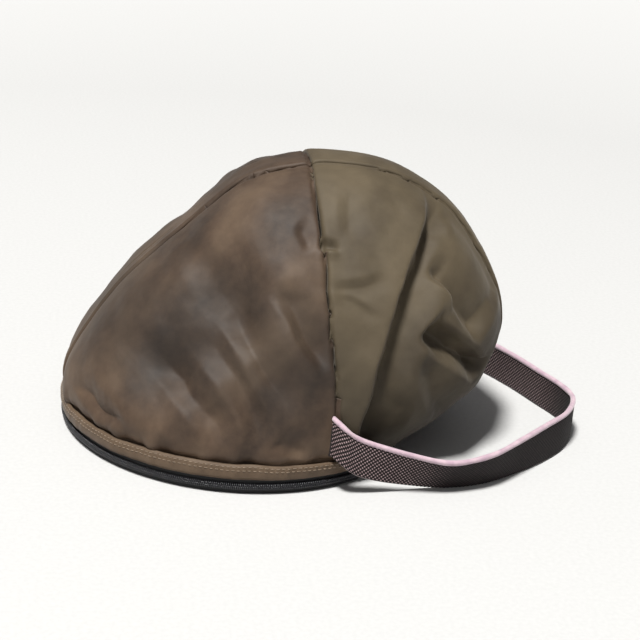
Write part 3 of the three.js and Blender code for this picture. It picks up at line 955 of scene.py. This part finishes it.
def build_zip(tape, coil, metal):
    step = math.degrees(TOOTH_PITCH / COIL_RADIUS)
    first, last = ZIP_DEGREES
    angles = np.linspace(first, last, 260)
    for side, body, tip_way in (("upper", "muff_body", -1), ("lower", "base_flap", 1)):
        rows = np.stack([on_rim(radius, angles, height) for radius, height in TAPE_OUTLINES[side]], 1)
        finish_piece(tube("tape_" + side, rows), body, tape, ["zip_tape_" + side])
        places = np.arange(first + ZIP_END_DEGREES, last - ZIP_END_DEGREES, step)
        places += (step / 2) * (side == "lower")
        teeth = [tooth(angle, TOOTH_ROOTS[side], tip_way) for angle in places]
        finish_piece(join("coil_" + side, teeth), body, coil, ["zip_chain_" + side])
    for name in ("zip_stop_near", "zip_stop_far", "zip_slider", "zip_pull"):
        node = frame["nodes"][name]
        node.data.materials.clear()
        node.data.materials.append(metal)
        bevel = node.modifiers.new("round", "BEVEL")
        bevel.width = 0.3 * MM
        bevel.segments = 3


TOE_PAD_INSET = 6


def disc_outline(radius, x_end):
    """The circle that the zip frees, cut off by the hinge line, as points (x, y)."""
    turns = np.linspace(0, 2 * math.pi, 240, endpoint=False)
    ahead = np.maximum(np.cos(turns), 1e-6)
    reach = np.minimum(radius, x_end / ahead)
    return np.stack([reach * np.cos(turns), reach * np.sin(turns)], 1)


def toe_outline(inset, x_start, height):
    """The blunt end of the base past the hinge line, inset from the body's surface."""
    turns = np.linspace(-math.pi / 2, math.pi / 2, 400)
    edge = surface_points(height, turns) - surface_normals(height, turns) * inset
    edge = edge[edge[:, 0] > x_start, :2]
    back = np.linspace(edge[-1, 1], edge[0, 1], 60)
    return np.vstack([edge, np.stack([np.full(60, x_start), back], 1)[1:-1]])


def build_slab(name, outline, low, high, edge, dimple, seed):
    """A flat piece under the body: rounded round its rim, with soft hollows over its upper face."""
    centre = outline.mean(0)
    spokes = outline - centre
    reach = np.linalg.norm(spokes, axis=1)
    spokes = spokes / reach[:, None]
    corner = np.linspace(0, math.pi / 2, 6)
    flat = np.linspace(0.02, 1, 44)
    path = [(share, 0, low) for share in flat]
    path += [(1, edge * math.sin(a), low + edge * (1 - math.cos(a))) for a in corner[1:]]
    path += [(1, edge * math.cos(a), high - edge * (1 - math.sin(a))) for a in corner[:-1]]
    path += [(share, 0, high) for share in flat[::-1]]
    rings = []
    for share, out, height in path:
        away = share * (reach - edge) + out
        x, y = (centre + spokes * away[:, None]).T
        soft = fractal(np.stack([x / 28, y / 28, 0 * x + height], 1), 3, seed)
        soft *= smoothstep(reach - away, 0, 12)
        upper = height > (low + high) / 2
        rings.append(np.stack([x, y, height - dimple * np.abs(soft) * upper], 1))
    return tube(name, rings)


def build_fold():
    """The strip of cloth across the hinge line, between the flap and the body."""
    xs = np.linspace(HINGE_X - FOLD_REACH, TOE_X + FOLD_REACH, 25)
    low, high = FOLD_SHEET
    half = math.sqrt(RIM_RADIUS ** 2 - (HINGE_X + FOLD_REACH) ** 2) - 1
    ys = np.linspace(-half, half, 60)
    sections = [np.array([(x, y, low) for x in xs] + [(x, y, high) for x in xs[::-1]]) for y in ys]
    return tube("fold_cloth", sections)


def build_base(brown, lining):
    bottom = FOLD_SHEET[1]
    outer_high = box_mm("flap_outer")[1][2]
    rim = disc_outline(RIM_RADIUS - 1.3, HINGE_X - 0.3)
    sheet = build_slab("flap_cloth", rim, bottom, outer_high + 0.5, 0.5, 0.3, 81)
    finish_piece(sheet, "base_flap", brown, ["flap_outer"])
    pad_high = box_mm("flap_padding")[1]
    top = box_mm("flap_lining")[1][2]
    low = outer_high + 0.6
    pad = build_slab("flap_pad", disc_outline(pad_high[1], pad_high[0]), low, top, 3.5, 1.4, 83)
    finish_piece(pad, "base_flap", lining, ["flap_padding", "flap_lining"])
    toe = build_slab("toe_pad", toe_outline(TOE_PAD_INSET, TOE_X + 0.4, low), low, top, 3.0, 1.0, 85)
    finish_piece(toe, "muff_body", lining, ["toe_padding", "toe_lining"])
    fold = finish_piece(build_fold(), None, brown)
    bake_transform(fold)


# ---- Wrist loop ----

# x, y, height of the lower edge, and how far the upper edge leans out for each unit of height.
LOOP_ROUTE = [
    (55, -121.8, 21, 0), (63, -121.6, 15, 0), (76, -119.5, 10, 0.08), (97, -115, 5, 0.3),
    (125, -109.5, 0.6, 0.5), (152, -103.5, 0.6, 0.34), (180, -87, 0.6, 0.08), (206, -66, 0.6, -0.08),
    (225, -44, 0.6, -0.04), (235.5, -18, 0.6, 0), (233, 4, 0.6, 0), (223, 29, 0.6, 0), (209, 62, 0.6, 0),
    (190, 94, 0.6, 0), (161, 117, 0.6, 0.05), (126, 125, 0.6, 0.1), (96, 125, 5, 0.1),
    (76, 122.4, 10, 0.05), (63, 121.6, 15, 0), (55, 121.8, 21, 0),
]
LOOP_TUCK = [(48, -114.5, 25, 0), (48, 114.5, 25, 0)]      # its ends run on into the cross seam
WEB_WIDTH = 24.0
WEB_HALF_THICK = 1.1
WEB_STEP = 0.6                # between the points up its section
EDGING_RADIUS = 1.85
WEAVE_HEIGHT = 0.28
PATCH_X = (47.0, 57.0)
PATCH_Z = (24.0, 45.0)
PATCH_OUT = (-2.5, -0.2)      # how far its faces are out of the body's surface


class Loop:
    """The wrist loop's line, sampled evenly along its length."""

    def __init__(self, step_mm):
        route = [LOOP_TUCK[0], *LOOP_ROUTE, LOOP_TUCK[1]]
        fine = spline(route, 4000)
        lengths = np.concatenate([[0], np.cumsum(np.linalg.norm(np.diff(fine[:, :3], axis=0), axis=1))])
        self.along = np.linspace(0, lengths[-1], int(lengths[-1] / step_mm))
        x, y, lift, lean = (np.interp(self.along, lengths, fine[:, k]) for k in range(4))
        self.at = np.stack([x, y, lift], 1)
        ahead = np.gradient(self.at, axis=0)
        ahead[:, 2] = 0
        ahead /= np.linalg.norm(ahead, axis=1, keepdims=True)
        outwards = np.stack([ahead[:, 1], -ahead[:, 0], 0 * x], 1)
        up = np.array([0, 0, 1]) + lean[:, None] * outwards
        self.up = up / np.linalg.norm(up, axis=1, keepdims=True)
        self.out = np.cross(ahead, self.up)

    def points(self, out, up):
        """Points out of the web's face and up it; out and up may be one number or one for each place."""
        out, up = (np.broadcast_to(np.asarray(v, float), (len(self.at),))[:, None] for v in (out, up))
        return self.at + self.out * out + self.up * up


def web_outline():
    """Round the web's section: how far out of its face, height up it, and which face it's on."""
    heights = np.arange(0.5, WEB_WIDTH - 0.49, WEB_STEP)
    front = [(WEB_HALF_THICK, h, 1) for h in heights]
    back = [(-WEB_HALF_THICK, h, -1) for h in heights[::-1]]
    return front + [(0.5, WEB_WIDTH, 0), (-0.5, WEB_WIDTH, 0)] + back + [(-0.5, 0, 0), (0.5, 0, 0)]


def build_loop(yarn, edging, selvedge):
    loop = Loop(0.62)
    outline = web_outline()
    columns = []
    for out, height, face in outline:
        turns = 2 * math.pi / WEAVE_PITCH
        knots = np.cos(loop.along * turns) * math.cos(height * turns)
        columns.append(loop.points(out + face * WEAVE_HEIGHT * knots, height))
    web = tube("webbing", np.stack(columns, 1))
    up = [height / UV_MM for _, height, _ in outline]
    vertex_uv = np.stack([np.repeat(loop.along / UV_MM, len(up)), np.tile(up, len(loop.along))], 1)
    corners = np.empty(len(web.data.loops), int)
    web.data.loops.foreach_get("vertex_index", corners)
    web.data.uv_layers.new(name="weave").data.foreach_set("uv", vertex_uv[corners].ravel())
    finish_piece(web, None, yarn, ["loop_webbing"])

    coarse = Loop(1.6)
    angles = np.arange(14) * 2 * math.pi / 14
    none = 0 * coarse.along
    radius = EDGING_RADIUS * (1 + 0.07 * value_noise(np.stack([coarse.along / 9, none, none], 1), 91))
    top = WEB_WIDTH + EDGING_RADIUS - 0.4
    rows = [coarse.points(radius * math.cos(a), top + radius * math.sin(a)) for a in angles]
    finish_piece(tube("pink_edging", np.stack(rows, 1)), None, edging, ["loop_edging"])
    rows = [coarse.points(0.55 * math.cos(a), 0.15 + 0.5 * math.sin(a)) for a in angles[::2]]
    finish_piece(tube("pale_selvedge", np.stack(rows, 1)), None, selvedge)
    for name in ("webbing", "pink_edging", "pale_selvedge"):
        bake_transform(bpy.data.objects[name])


def build_patches(material):
    """The stitched patch under each end of the loop."""
    turns = np.linspace(-math.pi / 2, -math.pi / 4, 400)
    xs = np.linspace(*PATCH_X, 12)
    for name, side in (("near", 1), ("far", -1)):
        sections = []
        for height in np.linspace(*PATCH_Z, 24):
            turn = np.interp(xs, surface_points(height, turns)[:, 0], turns)
            at, normal = surface_points(height, turn), surface_normals(height, turn)
            outline = np.vstack([at + normal * PATCH_OUT[1], (at + normal * PATCH_OUT[0])[::-1]])
            sections.append(outline * np.array([1, side, 1]))
        patch = tube("patch_" + name, sections)
        finish_piece(patch, "muff_body", material, ["loop_patch_" + name])


# ---- Stage ----

CAMERA_AZIMUTH = math.radians(-9)
CAMERA_ELEVATION = math.radians(21)
CAMERA_ROLL = math.radians(4.92)
CAMERA_DISTANCE = 1.15
CAMERA_TARGET = Vector((0.0518, 0, 0.073))
CAMERA_LENS = 93.0

FLOOR_REACH = 8000
CORNERS = ((-1, -1), (1, -1), (1, 1), (-1, 1))
# The floor gets paler with distance, as the lamp over its middle doesn't reach so far.
FLOOR_FADE = [(0.12, (0, 0, 0, 1)), (0.65, (1, 1, 1, 1))]
# How bright the studio is at each height, as the sine of the height's angle over the horizon.
SKY = [(0.0, 0.98), (0.2, 0.98), (0.3, 0.03), (0.5, 0.05), (0.85, 0.3)]


def build_camera():
    a, e, r = CAMERA_AZIMUTH, CAMERA_ELEVATION, CAMERA_ROLL
    back = Vector((math.sin(a) * math.cos(e), -math.cos(a) * math.cos(e), math.sin(e)))
    right = Vector((math.cos(a), math.sin(a), 0))
    up = back.cross(right)
    right, up = right * math.cos(r) + up * math.sin(r), up * math.cos(r) - right * math.sin(r)
    camera = bpy.data.objects.new("camera", bpy.data.cameras.new("camera"))
    camera.data.lens = CAMERA_LENS
    camera.data.sensor_width = 36
    turn = Matrix((right, up, back)).transposed().to_4x4()
    camera.matrix_world = Matrix.Translation(CAMERA_TARGET + back * CAMERA_DISTANCE) @ turn
    bpy.context.scene.collection.objects.link(camera)
    bpy.context.scene.camera = camera


def area_light(name, place, aim, size, power, color=(1, 1, 1)):
    lamp = bpy.data.lights.new(name, "AREA")
    lamp.shape = "DISK"
    lamp.size = size
    lamp.energy = power
    lamp.color = color
    obj = bpy.data.objects.new(name, lamp)
    obj.location = place
    obj.rotation_euler = (Vector(aim) - Vector(place)).to_track_quat("-Z", "Y").to_euler()
    bpy.context.scene.collection.objects.link(obj)


def build_stage():
    floor = new_object("floor", [(FLOOR_REACH * x, FLOOR_REACH * y, 0) for x, y in CORNERS], [(0, 1, 2, 3)])
    n = Nodes("floor")
    paper = n.ramp(n.noise(3, 2), greys([(0.3, 180), (0.7, 185)]))
    reach = n.add("ShaderNodeVectorMath", {"Vector": n.place()}, operation="LENGTH").outputs["Value"]
    far = n.math("DIVIDE", reach, FLOOR_REACH * MM)
    paper = n.mix(n.ramp(far, FLOOR_FADE), paper, linear((252, 252, 252)))
    floor.data.materials.append(n.set(Base_Color=paper, Roughness=0.9))
    world = bpy.data.worlds.new("studio")
    world.use_nodes = True
    tree = world.node_tree
    sky = tree.nodes.new("ShaderNodeTexCoord").outputs["Generated"]
    height = tree.nodes.new("ShaderNodeSeparateXYZ")
    ramp = tree.nodes.new("ShaderNodeValToRGB")
    tree.links.new(sky, height.inputs[0])
    tree.links.new(height.outputs["Z"], ramp.inputs["Fac"])
    tree.links.new(ramp.outputs["Color"], tree.nodes["Background"].inputs["Color"])
    fill_ramp(ramp, [(place, (grey, grey, grey, 1)) for place, grey in SKY])
    bpy.context.scene.world = world
    area_light("key", (-1.9, -2.6, 9.0), (0.03, 0, 0.08), 1.8, 1750, (1, 0.99, 0.96))
    area_light("low_front", (-0.9, -2.3, 0.6), (-0.02, 0, 0.08), 0.7, 4, (1, 0.98, 0.95))
    bpy.context.scene.view_settings.view_transform = "Standard"


# ---- The pieces in their materials ----

# Each material's last list is painted shade by height: the brown darker in a band across its middle height,
# the olive darker towards the bottom.
BROWN = nylon("nylon_brown", (41, 27, 16), (68, 51, 37), (94, 76, 59), 0.6,
              [(0.32, 255), (0.43, 225), (0.54, 185), (0.72, 185), (0.86, 230)])
OLIVE = nylon("nylon_olive", (58, 48, 33), (70, 60, 43), (82, 71, 53), 0.66,
              [(0.3, 195), (0.5, 218), (0.8, 250)])

build_camera()
build_stage()
build_body(BROWN, OLIVE)
build_hem(woven("hem_cloth", (68, 53, 39), (106, 88, 70), 0.7, 0.6, 0.06), thread())
build_zip(woven("zip_tape", (8, 8, 9), (22, 22, 25), 0.8, 0.6, 0.08), coil_nylon(), enamelled_metal())
build_patches(woven("patch_webbing", (20, 15, 15), (48, 38, 39), 1.4, 0.6, 0.15))
LINING = brushed_lining()
build_lining(LINING)
build_base(BROWN, LINING)
build_loop(webbing_yarn(), soft_edging("pink_edging", (158, 132, 146), (186, 164, 172)),
           soft_edging("pale_selvedge", (140, 124, 124), (172, 158, 156)))
